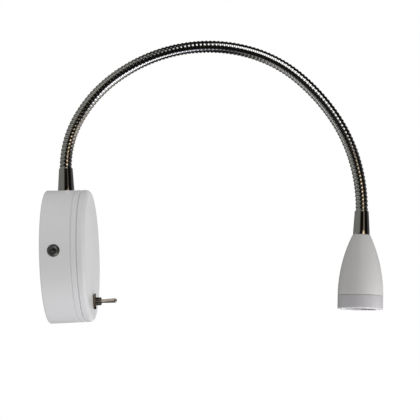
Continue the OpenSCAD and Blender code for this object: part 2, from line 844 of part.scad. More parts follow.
module neck_nut() {
    color("silver") translate([neck_x, 0, boss_z - neck_washer_t - nipple_nut_t])
        hex_nut(nipple_nut_w, nipple_d / 2 + thread_gap, nipple_nut_t);
}

// One ribbed link: a socket at its start and a ball at its end, where it meets other links.
// The first and the last link run on straight into the collars.
module neck_link(i) {
    first = i == 1 ? -grip_ribs : 0;
    last = i == LINKS ? link_ribs - 1 + grip_ribs : link_ribs - 1;
    steps = 2 * (last - first);
    color("gainsboro") difference() {
        union() {
            skin([for (k = [0 : steps]) let (s = socket_lip + (first + k / 2) * rib_pitch)
                link_ring(i, s, k % 2 == 0 ? neck_r : groove_r, rib_sides)]);
            if (i < LINKS) translate(centre_line(i, link_l)) sphere(r = ball_r);
        }
        if (i > 1) translate(link_start(i)) sphere(r = socket_r);
        translate(bend_centre(i)) rotate([0, heading(i), 0]) rotate([90, 0, 180])
            rotate_extrude(angle = bends[i - 1]) translate([bend_r(i), 0]) circle(d = neck_bore_d);
        translate(link_start(i)) rotate([0, heading(i), 0]) translate([0, 0, -2 * collar_grip])
            cylinder(r = neck_bore_d / 2 + bore_step, h = 2 * collar_grip + bore_step);
        translate(centre_line(i, link_l - bore_step)) rotate([0, turned(i, link_l), 0])
            cylinder(r = neck_bore_d / 2 + bore_step, h = 2 * collar_grip);
    }
}

// The lead in one link: the first runs up from the driver, the last down to the light's board
module led_lead(i) {
    start = i == 1 ? 0 : lead_start;
    finish = i == LINKS ? link_l : link_l + lead_reach;
    steps = 6;
    riser = [for (z = [nipple_end - wire_gap, seat_z, neck_start[2] - lead_d]) [neck_x, 0, z]];
    drop = [for (t = [head_collar_l / 2, head_collar_l + nipple_l, head_collar_l + board_top])
        head_start + t * along(head_heading)];
    bend = [for (k = [0 : steps]) centre_line(i, start + (finish - start) * k / steps)];
    route = concat(i == 1 ? concat(lead_route, riser) : [], bend, i == LINKS ? drop : []);
    color("whitesmoke") skin(route_rings(route, lead_d / 2, lead_sides));
}

// Head

module head_collar() {
    translate(head_start) rotate([0, head_heading, 0]) collar(head_collar_l);
}

module head_nut() {
    color("silver") at_head(head_top_t)
        hex_nut(nipple_nut_w, nipple_d / 2 + thread_gap, nipple_nut_t);
}

module head_shell() {
    outside = [for (k = [0 : ogive_steps]) let (t = shell_l * k / ogive_steps) [shell_r(t), t]];
    inside = [
        [spigot_r + seat_gap, shell_l],
        [spigot_r + seat_gap, spigot_t - seat_gap],
        [sink_r + seat_gap, spigot_t - seat_gap],
        [sink_r + seat_gap, sink_t],
        [sink_r - sink_ledge, sink_t],
        [nut_room_r, head_top_t],
        [nipple_d / 2 + seat_gap, head_top_t],
        [nipple_d / 2 + seat_gap, 0]];
    color("white") at_head() rotate_extrude() polygon(concat(outside, inside));
}

module heat_sink() {
    color("lightgray") at_head(sink_t) difference() {
        ring(sink_r, sink_bore_r, sink_h);
        at_board_screws() cylinder(r = board_screw_r + thread_gap, h = 3 * sink_h, center = true);
    }
}

module at_board_screws() {
    for (side = [-1, 1]) translate([0, side * board_screw_pcd / 2, 0]) children();
}

module led_board() {
    color("white") at_head(board_top) difference() {
        cylinder(r = board_r, h = led_board_t);
        at_board_screws() cylinder(r = board_screw_r + seat_gap, h = 3 * led_board_t, center = true);
    }
}

module board_screws() {
    color("silver") at_head(led_top) at_board_screws() {
        translate([0, 0, -led_board_t - board_screw_grip])
            cylinder(r = board_screw_r, h = led_board_t + board_screw_grip);
        cylinder(r1 = board_screw_head_r, r2 = 0.8 * board_screw_head_r, h = board_screw_head_h);
    }
}

module led_chip() {
    color("khaki") at_head(led_top) {
        translate([-led_side / 2, -led_side / 2, 0]) cube([led_side, led_side, led_h]);
        difference() {
            translate([0, 0, led_h]) sphere(r = led_dome_r);
            translate([0, 0, -led_side]) cylinder(r = led_side, h = led_side);
        }
    }
}

module lens_holder() {
    color("dimgray") at_head(board_top) ring(holder_r, holder_r - holder_wall, holder_top - board_top);
}

module lens() {
    cup_r = led_dome_r + lens_cup_gap;
    profile = [
        [0, lip_top],
        [holder_r, lip_top],
        [holder_r, holder_top],
        [board_r, holder_top],
        [lens_throat_r, lens_top],
        [cup_r, lens_top],
        [cup_r, lens_top + lens_cup_t],
        [0, lens_top + lens_cup_t]];
    color("lightcyan", 0.4) at_head() rotate_extrude() polygon(profile);
}

module front_ring() {
    top = shell_l + seat_gap;
    profile = concat(
        [[ring_bore_r, spigot_t], [spigot_r, spigot_t], [spigot_r, top], [head_r, top]],
        [for (a = [0 : 15 : 90])
            [head_r - ring_edge * (1 - cos(a)), head_l - ring_edge * (1 - sin(a))]],
        [[opening_d / 2, head_l], [opening_d / 2, lip_top], [ring_bore_r, lip_top]]);
    color("white") at_head() rotate_extrude() polygon(profile);
}

wall_bracket();
cable_grommet();
casing();
front_cover();
side_screws();
terminal_block();
terminal_tubes();
terminal_screws();
earth_screw();
driver_case();
driver_lid();
driver_board();
driver_coil();
driver_capacitor();
switch_case();
switch_bushing();
switch_pin();
switch_back_nut();
switch_washer();
switch_nut();
switch_terminals();
switch_rocker();
switch_lever();
live_wire();
switched_wire();
neutral_wire();
base_collar();
neck_washer();
neck_nut();
for (i = [1 : LINKS]) {
    neck_link(i);
    led_lead(i);
}
head_collar();
head_nut();
head_shell();
heat_sink();
led_board();
board_screws();
led_chip();
lens_holder();
lens();
front_ring();
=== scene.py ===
"""Looks of the flexible wall light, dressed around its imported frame.

Metres, +X out of the wall, +Z up, origin at the centre of the wall face. A length written with
MM is in millimetres. Shapes are grids of points worked out from a formula, one function each.
"""
import math

import bmesh
import bpy
import numpy as np
from mathutils import Matrix, Vector


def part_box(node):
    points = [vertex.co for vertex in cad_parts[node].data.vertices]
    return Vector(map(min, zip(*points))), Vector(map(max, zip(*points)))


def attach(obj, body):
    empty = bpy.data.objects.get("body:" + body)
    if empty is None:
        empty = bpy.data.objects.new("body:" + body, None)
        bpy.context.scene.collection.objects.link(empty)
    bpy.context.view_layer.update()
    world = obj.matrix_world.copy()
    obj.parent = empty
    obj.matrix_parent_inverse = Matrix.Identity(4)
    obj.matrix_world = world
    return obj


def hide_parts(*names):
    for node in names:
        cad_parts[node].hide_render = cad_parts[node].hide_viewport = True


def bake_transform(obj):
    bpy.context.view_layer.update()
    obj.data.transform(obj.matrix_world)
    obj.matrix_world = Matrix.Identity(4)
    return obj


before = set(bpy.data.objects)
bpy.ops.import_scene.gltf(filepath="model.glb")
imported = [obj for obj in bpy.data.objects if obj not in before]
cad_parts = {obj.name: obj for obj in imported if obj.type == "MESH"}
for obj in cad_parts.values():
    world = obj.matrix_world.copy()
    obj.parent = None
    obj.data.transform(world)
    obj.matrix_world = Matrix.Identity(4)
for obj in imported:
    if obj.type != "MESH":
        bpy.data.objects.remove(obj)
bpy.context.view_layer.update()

scene = bpy.context.scene
MM = 0.001
X_AXIS, Y_AXIS, Z_AXIS = np.eye(3)


# Sizes that the pieces share, in metres and degrees

NECK_R = 3.7 * MM
RIB_LEAN = 0.1 * MM
RIB_DEPTH = 0.3 * MM
RIB_WALL = (0.42, 0.62)
NECK_BORE_R = 2.4 * MM
LINK_L = 30.9 * MM
RIBS_PER_LINK = 13
BENDS = (30, 22.9, 18.5, 18.8, 19.7, 22.4, 15.2, 18.4, 17.2)
COLLAR_GRIP = 9 * MM
NECK_END_GAP = 0.5 * MM
COLLAR_RIM_R = 4.2 * MM
COLLAR_SEAT_R = 5.0 * MM
COLLAR_BORE_R = 3.75 * MM
NIPPLE_R = 4.0 * MM
NIPPLE_L = 9 * MM
LEAD_BORE_R = 2.1 * MM
COLLAR_L = 14.25 * MM

HEAD_R = 13.5 * MM
HEAD_TOP_R = 5.2 * MM
HEAD_L = 44.5 * MM
SHELL_L = 36.4 * MM
SINK_T = 22 * MM
SHELL_WALL = 1.1 * MM
NUT_ROOM_T = 6 * MM
NUT_ROOM_R = 6.6 * MM
SINK_LEDGE = 1.6 * MM
SPIGOT_STEP = 0.35 * MM
SPIGOT_L = 5.5 * MM
SPIGOT_WALL = 1.1 * MM
OPENING_R = 9.3 * MM
LIP_T = 1.6 * MM
FIT = 0.1 * MM

SWITCH_Z = -27.5 * MM
FRONT_X = 26.5 * MM
WASHER_T = 0.3 * MM
NUT_X = FRONT_X + WASHER_T
NUT_FLATS = 8.2 * MM
NUT_T = 1.5 * MM
BUSHING_R = 2.5 * MM
BUSHING_X = 31.3 * MM
BUSHING_BORE_R = 1.7 * MM
BUSHING_MOUTH_R = 2.05 * MM
PIVOT_X = 27.8 * MM
LEVER_BALL_R = 1.6 * MM
FLANGE_FRONT_X = 23.0 * MM
FLANGE_T = 0.8 * MM
FLANGE_SIZE = (13.2 * MM, 8 * MM)
FLANGE_SEAM = 0.01 * MM

SCREW_X = 8.4 * MM
SCREW_SEAT_Y = 38.953 * MM
SCREW_HEAD_R = 3.45 * MM
SCREW_HEAD_H = 2.2 * MM
SCREW_SHANK_R = 2 * MM
SCREW_SHANK_L = 7 * MM
SCREW_SOCKET = 2.5 * MM


# Mesh helpers

POLE_SIZE = 0.0005 * MM


def grid_faces(rows, columns, close_rows):
    """Four-sided faces of a grid whose columns close on themselves, and whose rows may too."""
    i = np.arange(rows if close_rows else rows - 1)[:, None]
    j = np.arange(columns)[None, :]
    after_j = (j + 1) % columns
    here, above = i * columns, (i + 1) % rows * columns
    return np.stack([here + j, here + after_j, above + after_j, above + j], axis=-1).reshape(-1, 4)


def piece_from_grid(name, points, material, close_rows=True, sharp=32):
    """A smooth piece from rows of rings. Without close_rows the first and last ring shrink to a pole."""
    rows, columns = points.shape[:2]
    faces = grid_faces(rows, columns, close_rows).tolist()
    mesh = bpy.data.meshes.new(name)
    mesh.from_pydata(points.reshape(-1, 3).tolist(), [], faces)
    return finished(name, mesh, material, sharp, merge=not close_rows)


def finished(name, mesh, material, sharp, merge):
    """Shades a mesh smooth up to an angle, closes its poles where asked, and puts it in the scene."""
    if merge:
        work = bmesh.new()
        work.from_mesh(mesh)
        bmesh.ops.remove_doubles(work, verts=work.verts, dist=POLE_SIZE)
        bmesh.ops.dissolve_degenerate(work, edges=work.edges, dist=POLE_SIZE)
        work.to_mesh(mesh)
        work.free()
    mesh.validate()
    mesh.shade_smooth()
    mesh.set_sharp_from_angle(angle=math.radians(sharp))
    mesh.materials.append(material)
    piece = bpy.data.objects.new(name, mesh)
    scene.collection.objects.link(piece)
    return piece


def rounded(corners, steps=7):
    """A closed outline through corners (t, r, radius), each rounded by an arc that touches its two sides."""
    spots = np.array([c[:2] for c in corners], float)
    out = []
    for k, (corner, radius) in enumerate(zip(spots, (c[2] for c in corners))):
        if radius == 0:
            out.append(corner[None])
            continue
        back = spots[k - 1] - corner
        ahead = spots[(k + 1) % len(spots)] - corner
        back, ahead = back / np.linalg.norm(back), ahead / np.linalg.norm(ahead)
        half = math.acos(np.clip(back @ ahead, -1, 1)) / 2
        middle = corner + (back + ahead) / np.linalg.norm(back + ahead) * radius / math.sin(half)
        first = corner + back * radius / math.tan(half) - middle
        last = corner + ahead * radius / math.tan(half) - middle
        swing = math.pi - 2 * half
        share = np.linspace(0, 1, steps)[:, None]
        arc = np.sin((1 - share) * swing) * first + np.sin(share * swing) * last
        out.append(middle + arc / math.sin(swing))
    return np.concatenate(out)


def circle(segments):
    """Equal angles all round."""
    return np.linspace(0, 2 * math.pi, segments, endpoint=False)


def spokes(angle, axis, side):
    """Unit vectors square to an axis, at angles counted from a side."""
    return np.cos(angle)[:, None] * side + np.sin(angle)[:, None] * np.cross(axis, side)


def turned(outline, origin, axis, side, segments):
    """Points of a turned shape: outline points (t, r) go t along the axis and r out from it, all round."""
    t, r = outline[:, 0], outline[:, 1]
    return origin + t[:, None, None] * axis + r[:, None, None] * spokes(circle(segments), axis, side)


def turned_piece(name, outline, material, origin, axis, side, segments=96):
    """A turned piece from a closed outline listed with the outside going up the axis."""
    return piece_from_grid(name, turned(outline, origin, axis, side, segments), material)


def step(low, high, value):
    """Smooth rise from 0 at low to 1 at high. Where low is the larger, it falls instead."""
    share = np.clip((value - low) / (high - low), 0, 1)
    return share * share * (3 - 2 * share)


def hex_radius(angle, flats):
    """Radius of a hexagon at an angle counted from one of its corners."""
    return flats / 2 / np.cos((angle % (math.pi / 3)) - math.pi / 6)


# Shader helpers

def add(tree, kind, **inputs):
    """A node of a kind with its named input sockets set, where underscores in names stand for spaces."""
    node = tree.nodes.new(kind)
    for name, value in inputs.items():
        socket = node.inputs[name.replace("_", " ")]
        if hasattr(value, "is_output"):
            tree.links.new(value, socket)
        else:
            socket.default_value = value
    return node


def new_group(name, inputs, outputs):
    """An empty shader group with float or colour inputs and its output sockets."""
    tree = bpy.data.node_groups.new(name, "ShaderNodeTree")
    for socket, kind, value in inputs:
        made = tree.interface.new_socket(socket, in_out="INPUT", socket_type=kind)
        made.default_value = value
    for socket, kind in outputs:
        tree.interface.new_socket(socket, in_out="OUTPUT", socket_type=kind)
    return tree, tree.nodes.new("NodeGroupInput"), tree.nodes.new("NodeGroupOutput")


FLOAT, COLOUR, VECTOR = "NodeSocketFloat", "NodeSocketColor", "NodeSocketVector"


def make_mottle():
    """Soft cloudy noise between two values, for uneven gloss."""
    tree, given, out = new_group("mottle", [("Scale", FLOAT, 200), ("Low", FLOAT, 0.3), ("High", FLOAT, 0.5)],
                                 [("Value", FLOAT)])
    place = add(tree, "ShaderNodeTexCoord")
    noise = add(tree, "ShaderNodeTexNoise", Vector=place.outputs["Object"], Scale=given.outputs["Scale"],
                Detail=4.0, Roughness=0.6)
    spread = add(tree, "ShaderNodeMapRange", Value=noise.outputs["Fac"], From_Min=0.3, From_Max=0.7,
                 To_Min=given.outputs["Low"], To_Max=given.outputs["High"])
    tree.links.new(spread.outputs["Result"], out.inputs["Value"])
    return tree


def make_tint():
    """A colour made a little lighter and darker by cloudy noise."""
    tree, given, out = new_group("tint", [("Colour", COLOUR, (1, 1, 1, 1)), ("Scale", FLOAT, 150),
                                          ("Amount", FLOAT, 0.05)], [("Colour", COLOUR)])
    place = add(tree, "ShaderNodeTexCoord")
    noise = add(tree, "ShaderNodeTexNoise", Vector=place.outputs["Object"], Scale=given.outputs["Scale"],
                Detail=5.0)
    less = add(tree, "ShaderNodeMath")
    less.operation = "SUBTRACT"
    less.inputs[0].default_value = 1
    tree.links.new(given.outputs["Amount"], less.inputs[1])
    level = add(tree, "ShaderNodeMapRange", Value=noise.outputs["Fac"], From_Min=0.25, From_Max=0.75,
                To_Min=less.outputs[0], To_Max=1.0)
    scaled = add(tree, "ShaderNodeVectorMath")
    scaled.operation = "SCALE"
    tree.links.new(given.outputs["Colour"], scaled.inputs[0])
    tree.links.new(level.outputs["Result"], scaled.inputs["Scale"])
    tree.links.new(scaled.outputs[0], out.inputs["Colour"])
    return tree


def make_grain():
    """A fine bumpy surface: the normal of noise of a given scale and depth."""
    tree, given, out = new_group("grain", [("Scale", FLOAT, 1500), ("Depth", FLOAT, 0.02 * MM)],
                                 [("Normal", VECTOR)])
    place = add(tree, "ShaderNodeTexCoord")
    noise = add(tree, "ShaderNodeTexNoise", Vector=place.outputs["Object"], Scale=given.outputs["Scale"],
                Detail=2.0)
    bump = add(tree, "ShaderNodeBump", Height=noise.outputs["Fac"], Distance=given.outputs["Depth"],
               Strength=1.0)
    tree.links.new(bump.outputs["Normal"], out.inputs["Normal"])
    return tree


def make_painted_shade():
    """Painted shade: a colour darkened, a little unevenly, where a mask is deep."""
    tree, given, out = new_group("painted_shade", [("Colour", COLOUR, (1, 1, 1, 1)), ("Deep", FLOAT, 0)],
                                 [("Colour", COLOUR)])
    place = add(tree, "ShaderNodeTexCoord")
    noise = add(tree, "ShaderNodeTexNoise", Vector=place.outputs["Object"], Scale=900.0, Detail=3.0)
    left = add(tree, "ShaderNodeMapRange", Value=noise.outputs["Fac"], From_Min=0.3, From_Max=0.7,
               To_Min=0.03, To_Max=0.09)
    level = add(tree, "ShaderNodeMapRange", Value=given.outputs["Deep"], To_Min=1.0,
                To_Max=left.outputs["Result"])
    dark = add(tree, "ShaderNodeVectorMath")
    dark.operation = "SCALE"
    tree.links.new(given.outputs["Colour"], dark.inputs[0])
    tree.links.new(level.outputs["Result"], dark.inputs["Scale"])
    tree.links.new(dark.outputs[0], out.inputs["Colour"])
    return tree


MOTTLE, TINT, GRAIN, PAINTED_SHADE = make_mottle(), make_tint(), make_grain(), make_painted_shade()


def use(tree, group, **inputs):
    """One use of a shader group with its own values."""
    node = tree.nodes.new("ShaderNodeGroup")
    node.node_tree = group
    for name, value in inputs.items():
        if hasattr(value, "is_output"):
            tree.links.new(value, node.inputs[name])
        else:
            node.inputs[name].default_value = value
    return node


def finish_of(name, colour, rough, metal=0.0, tint=(150, 0.04), mottle=300, grain=None, shade=None, **fixed):
    """A material: tinted colour, roughness mottled between two values, grain as (scale, depth), and shade
    as the mesh attribute under which painted shade darkens the colour."""
    material = bpy.data.materials.new(name)
    material.use_nodes = True
    tree = material.node_tree
    shader = tree.nodes["Principled BSDF"]
    shader.inputs["Metallic"].default_value = metal
    for socket, value in fixed.items():
        shader.inputs[socket.replace("_", " ")].default_value = value
    paint = use(tree, TINT, Colour=(*colour, 1), Scale=tint[0], Amount=tint[1]).outputs["Colour"]
    if shade:
        # Painted shade: the colour darkens almost to black where the shade attribute is high.
        deep = add(tree, "ShaderNodeAttribute")
        deep.attribute_name = shade
        paint = use(tree, PAINTED_SHADE, Colour=paint, Deep=deep.outputs["Fac"]).outputs["Colour"]
    tree.links.new(paint, shader.inputs["Base Color"])
    gloss = use(tree, MOTTLE, Scale=mottle, Low=rough[0], High=rough[1])
    tree.links.new(gloss.outputs["Value"], shader.inputs["Roughness"])
    if grain:
        bumps = use(tree, GRAIN, Scale=grain[0], Depth=grain[1])
        tree.links.new(bumps.outputs["Normal"], shader.inputs["Normal"])
    material.diffuse_color = (*colour, 1)
    return material


# Materials

white_coat = finish_of("white_coat", (0.70, 0.695, 0.70), (0.36, 0.46), tint=(60, 0.03), mottle=400,
                       grain=(1400, 0.012 * MM))
# The head's shell and ring have the same white coat as the base, painted darker here: painted shade for the
# weaker light on the head, darker still on the ring.
head_shade_coat = finish_of("head_shade_coat", (0.46, 0.455, 0.445), (0.36, 0.46), tint=(80, 0.04), mottle=400,
                      grain=(1100, 0.016 * MM))
ring_shade_coat = finish_of("ring_shade_coat", (0.39, 0.38, 0.39), (0.32, 0.42), tint=(80, 0.04), mottle=400,
                      grain=(1100, 0.012 * MM))
chrome = finish_of("chrome", (0.66, 0.66, 0.66), (0.02, 0.07), metal=1.0, tint=(90, 0.06), mottle=700)
# ribbed_chrome carries painted shade in its rib grooves and bore, through the attribute named in shade.
ribbed_chrome = finish_of("ribbed_chrome", (0.86, 0.86, 0.86), (0.02, 0.07), metal=1.0, tint=(90, 0.06),
                          mottle=700, shade="groove")
nickel = finish_of("nickel", (0.62, 0.55, 0.46), (0.06, 0.14), metal=1.0, tint=(300, 0.12), mottle=900)
dark_nickel = finish_of("dark_nickel", (0.17, 0.145, 0.12), (0.05, 0.12), metal=1.0, tint=(300, 0.2),
                        mottle=900)
satin_brass = finish_of("satin_brass", (0.95, 0.86, 0.64), (0.5, 0.6), metal=1.0, tint=(300, 0.1),
                        mottle=900)
zinc_steel = finish_of("zinc_steel", (0.50, 0.51, 0.52), (0.24, 0.42), metal=1.0, tint=(300, 0.15),
                       mottle=700, grain=(2600, 0.008 * MM))
screw_steel = finish_of("screw_steel", (0.24, 0.24, 0.235), (0.34, 0.5), metal=1.0, tint=(500, 0.25),
                        mottle=900, grain=(2600, 0.012 * MM))
black_plastic = finish_of("black_plastic", (0.03, 0.03, 0.032), (0.42, 0.58), grain=(1800, 0.02 * MM))
red_plastic = finish_of("red_plastic", (0.32, 0.03, 0.025), (0.35, 0.5), grain=(1600, 0.015 * MM))
cream_plastic = finish_of("cream_plastic", (0.66, 0.60, 0.46), (0.4, 0.55), grain=(1600, 0.015 * MM))
grommet_rubber = finish_of("grommet_rubber", (0.06, 0.06, 0.062), (0.65, 0.85), grain=(900, 0.03 * MM))
brass = finish_of("brass", (0.66, 0.46, 0.17), (0.18, 0.34), metal=1.0, tint=(300, 0.15), mottle=800)
copper_winding = finish_of("copper_winding", (0.56, 0.26, 0.10), (0.22, 0.38), metal=1.0, tint=(500, 0.2))
board_green = finish_of("board_green", (0.02, 0.12, 0.05), (0.28, 0.42), tint=(500, 0.2))
board_white = finish_of("board_white", (0.74, 0.74, 0.72), (0.3, 0.45), tint=(300, 0.06))
aluminium = finish_of("aluminium", (0.66, 0.67, 0.68), (0.28, 0.44), metal=1.0, tint=(300, 0.1))
phosphor = finish_of("phosphor", (0.72, 0.52, 0.10), (0.3, 0.45), tint=(900, 0.1))
sleeve_blue = finish_of("sleeve_blue", (0.02, 0.03, 0.12), (0.25, 0.4))
pvc_brown = finish_of("pvc_brown", (0.14, 0.06, 0.03), (0.4, 0.55))
pvc_blue = finish_of("pvc_blue", (0.03, 0.09, 0.34), (0.4, 0.55))
pvc_white = finish_of("pvc_white", (0.66, 0.66, 0.64), (0.4, 0.55))
clear_lens = finish_of("clear_lens", (0.97, 0.98, 0.98), (0.02, 0.06), tint=(200, 0.01), IOR=1.49,
                       Transmission_Weight=1.0)

NODE_FINISH = {
    white_coat: "casing front_cover head_shell front_ring",
    chrome: "base_collar head_collar",
    nickel: "switch_bushing switch_washer switch_nut switch_lever",
    zinc_steel: "wall_bracket side_screws terminal_screws earth_screw switch_pin switch_back_nut "
                "switch_terminals neck_washer neck_nut head_nut board_screws",
    black_plastic: "driver_case driver_lid lens_holder",
    red_plastic: "switch_case",
    cream_plastic: "terminal_block",
    grommet_rubber: "cable_grommet",
    brass: "terminal_tubes switch_rocker",
    copper_winding: "driver_coil",
    board_green: "driver_board",
    board_white: "led_board",
    aluminium: "heat_sink",
    phosphor: "led_chip",
    sleeve_blue: "driver_capacitor",
    pvc_brown: "live_wire switched_wire",
    pvc_blue: "neutral_wire",
    pvc_white: " ".join(f"led_lead_{link}" for link in range(1, len(BENDS) + 1)),
    clear_lens: "lens",
}
for finish, names in NODE_FINISH.items():
    for node in names.split():
        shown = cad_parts[node]
        shown.data.materials.clear()
        shown.data.materials.append(finish)


# Gooseneck

def along(heading):
    """Direction of the gooseneck at a heading, in radians from straight up towards the room."""
    return np.stack([np.sin(heading), 0 * heading, np.cos(heading)], axis=-1)


def inward(heading):
    """Direction square to the gooseneck, towards the inside of its bend."""
    return np.stack([np.cos(heading), 0 * heading, -np.sin(heading)], axis=-1)


collar_low, collar_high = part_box("base_collar")
NECK_START = np.array([(collar_low.x + collar_high.x) / 2, 0, collar_high.z])
BEND_ANGLES = np.radians(BENDS)
LINK_HEADINGS = np.concatenate([[0], np.cumsum(BEND_ANGLES)])
BEND_RADII = LINK_L / BEND_ANGLES
LINK_STEPS = BEND_RADII[:, None] * (inward(LINK_HEADINGS[:-1]) - inward(LINK_HEADINGS[1:]))
LINK_STARTS = NECK_START + np.concatenate([np.zeros((1, 3)), np.cumsum(LINK_STEPS, axis=0)])
NECK_L = LINK_L * len(BENDS)


def neck_line(s):
    """Centre and heading of the gooseneck at lengths s: one arc per link, straight beyond both ends."""
    kept = np.clip(s, 0, NECK_L)
    link = np.minimum((kept / LINK_L).astype(int), len(BENDS) - 1)
    heading = LINK_HEADINGS[link] + BEND_ANGLES[link] * (kept - link * LINK_L) / LINK_L
    swing = BEND_RADII[link][:, None] * (inward(LINK_HEADINGS[link]) - inward(heading))
    return LINK_STARTS[link] + swing + (s - kept)[:, None] * along(heading), heading


def ribbed_tube(name, first, last, per_rib=40, around=48):
    """A stretch of the strip-wound gooseneck with its bore. The turns made along the length less the angle
    round it give the place within a rib, so that the rib is one right-handed screw. From the crest to the
    valley the outside falls by the rib's depth along a smooth wall, and the two lean opposite ways.
    A mesh attribute is 1 on the walls and in the bore, and 0 elsewhere, and marks where painted shade
    darkens the chrome."""
    wall_edge = 0.07
    pitch = LINK_L / RIBS_PER_LINK
    steps = max(int(round((last - first) / pitch * per_rib)), 2)
    outer_s = np.linspace(first, last, steps)
    inner_s = np.linspace(last, first, steps // 4 + 2)
    s = np.concatenate([outer_s, inner_s])
    outside = np.concatenate([np.ones(len(outer_s)), np.zeros(len(inner_s))])[:, None]
    angle = circle(around)[None, :]
    turns = s[:, None] / pitch - angle / (2 * math.pi)
    crest = turns - np.round(turns)
    valley = crest - np.copysign(0.5, crest)
    way = 2 * np.abs(crest)
    fall = step(*RIB_WALL, way)
    lean = (1 - fall) * crest - fall * valley
    ribbed = NECK_R + RIB_LEAN * lean - RIB_DEPTH * fall
    radius = outside * ribbed + (1 - outside) * NECK_BORE_R
    centre, heading = neck_line(s)
    out = np.cos(angle)[..., None] * inward(heading)[:, None] + np.sin(angle)[..., None] * Y_AXIS
    piece = piece_from_grid(name, centre[:, None] + radius[..., None] * out, ribbed_chrome, sharp=60)
    # Painted shade: the rib walls and the bore are marked to be darkened, standing for the shade in the
    # grooves.
    top, foot = RIB_WALL
    wall = step(top - wall_edge, top, way) * step(foot + wall_edge, foot, way)
    groove = piece.data.attributes.new("groove", "FLOAT", "POINT")
    groove.data.foreach_set("value", (outside * wall + 1 - outside).ravel())
    return piece


def make_gooseneck():
    """Ten stretches: one from each collar to its link's middle, and one over each hinge between them."""
    half = LINK_L / 2
    first = ribbed_tube("gooseneck_1", NECK_END_GAP - COLLAR_GRIP, half)
    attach(first, "base")
    pieces = [first]
    for k in range(1, len(BENDS)):
        hinge = k * LINK_L
        piece = ribbed_tube(f"gooseneck_{k + 1}", hinge - half, hinge + half)
        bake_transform(piece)
        pieces.append(piece)
    last = ribbed_tube("gooseneck_10", NECK_L - half, NECK_L + COLLAR_GRIP - NECK_END_GAP)
    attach(last, "head")
    for link, piece in enumerate(pieces, 1):
        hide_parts(f"neck_link_{link}")


# Collars

def make_collar(name, node, body, origin, axis):
    """A tapered ferrule with a soft rim, a bore for the gooseneck and a nipple below its seat. Its straight
    side turns parallel to the axis over the last stretch, where the radius falls short of the seat's by
    half the taper times the square of what is left over the length of that stretch."""
    turn, rim_l = 2.6 * MM, 0.5 * MM
    bore_round, rim_round, seat_bevel, nipple_bevel = 0.1 * MM, 0.3 * MM, 0.1 * MM, 0.4 * MM
    straight, end = COLLAR_L - turn, COLLAR_L + NIPPLE_L
    taper = (COLLAR_SEAT_R - COLLAR_RIM_R) / (COLLAR_L - turn / 2)
    t = np.concatenate([np.linspace(rim_l, straight, 12),
                        np.linspace(straight, COLLAR_L - seat_bevel, 9)[1:]])
    left = np.minimum(COLLAR_L - t, turn)
    side_r = COLLAR_RIM_R + taper * (np.minimum(t, straight) + turn / 2 - left ** 2 / (2 * turn))
    rim = rounded([(0, COLLAR_BORE_R, bore_round), (0, COLLAR_RIM_R, rim_round), (t[0], side_r[0], 0),
                   (t[0], COLLAR_BORE_R, 0)])[:-2]
    seat = np.array([[COLLAR_L, side_r[-1] - seat_bevel], [COLLAR_L, NIPPLE_R],
                     [end - nipple_bevel, NIPPLE_R], [end, NIPPLE_R - nipple_bevel],
                     [end, LEAD_BORE_R], [COLLAR_GRIP, LEAD_BORE_R], [COLLAR_GRIP, COLLAR_BORE_R]])
    outline = np.concatenate([rim, np.stack([t, side_r], axis=-1), seat])
    piece = turned_piece(name, outline, chrome, origin, axis, Y_AXIS)
    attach(piece, body)
    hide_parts(node)


HEAD_HEADING = LINK_HEADINGS[-1]
HEAD_AXIS = along(HEAD_HEADING)
HEAD_START = LINK_STARTS[-1]
HEAD_TOP = HEAD_START + COLLAR_L * HEAD_AXIS


# Head

def shell_radius(t):
    """Radius of the head's ogive at t from its top: an arc that meets the front ring without a corner."""
    rise = HEAD_R - HEAD_TOP_R
    arc = (rise ** 2 + SHELL_L ** 2) / (2 * rise)
    return HEAD_R - arc + np.sqrt(arc ** 2 - (SHELL_L - t) ** 2)


SINK_R = float(shell_radius(SINK_T)) - SHELL_WALL
SPIGOT_R = SINK_R + SPIGOT_STEP
SPIGOT_T = SHELL_L - SPIGOT_L
RING_BORE_R = SPIGOT_R - SPIGOT_WALL


def make_head_shell():
    """The spot's ogive shell: the arc outside, its two ends rounded through one point in between, and
    inside it the nut's room, the ledge and the thread's room."""
    crown_round, crown_t, crown_r = 0.35 * MM, 0.1 * MM, 0.12 * MM
    edge_round, edge_t, edge_r = 0.25 * MM, 0.08 * MM, 0.07 * MM
    t = np.linspace(crown_round, SHELL_L - edge_round, 90)
    outside = np.stack([t, shell_radius(t)], axis=-1)
    crown = np.array([[0, HEAD_TOP_R - crown_round], [crown_t, HEAD_TOP_R - crown_r]])
    edge = np.array([[SHELL_L - edge_t, HEAD_R - edge_r], [SHELL_L, HEAD_R - edge_round]])
    inside = np.array([
        [SHELL_L, SPIGOT_R + FIT], [SPIGOT_T - FIT, SPIGOT_R + FIT], [SPIGOT_T - FIT, SINK_R + FIT],
        [SINK_T, SINK_R + FIT], [SINK_T, SINK_R - SINK_LEDGE], [NUT_ROOM_T, NUT_ROOM_R],
        [NUT_ROOM_T, NIPPLE_R + FIT], [0, NIPPLE_R + FIT]])
    # Painted shade: the shell takes a darker copy of the white coat.
    piece = turned_piece("ogive_shell", np.concatenate([crown, outside, edge, inside]), head_shade_coat,
                         HEAD_TOP, HEAD_AXIS, Y_AXIS, segments=128)
    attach(piece, "head")
    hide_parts("head_shell")


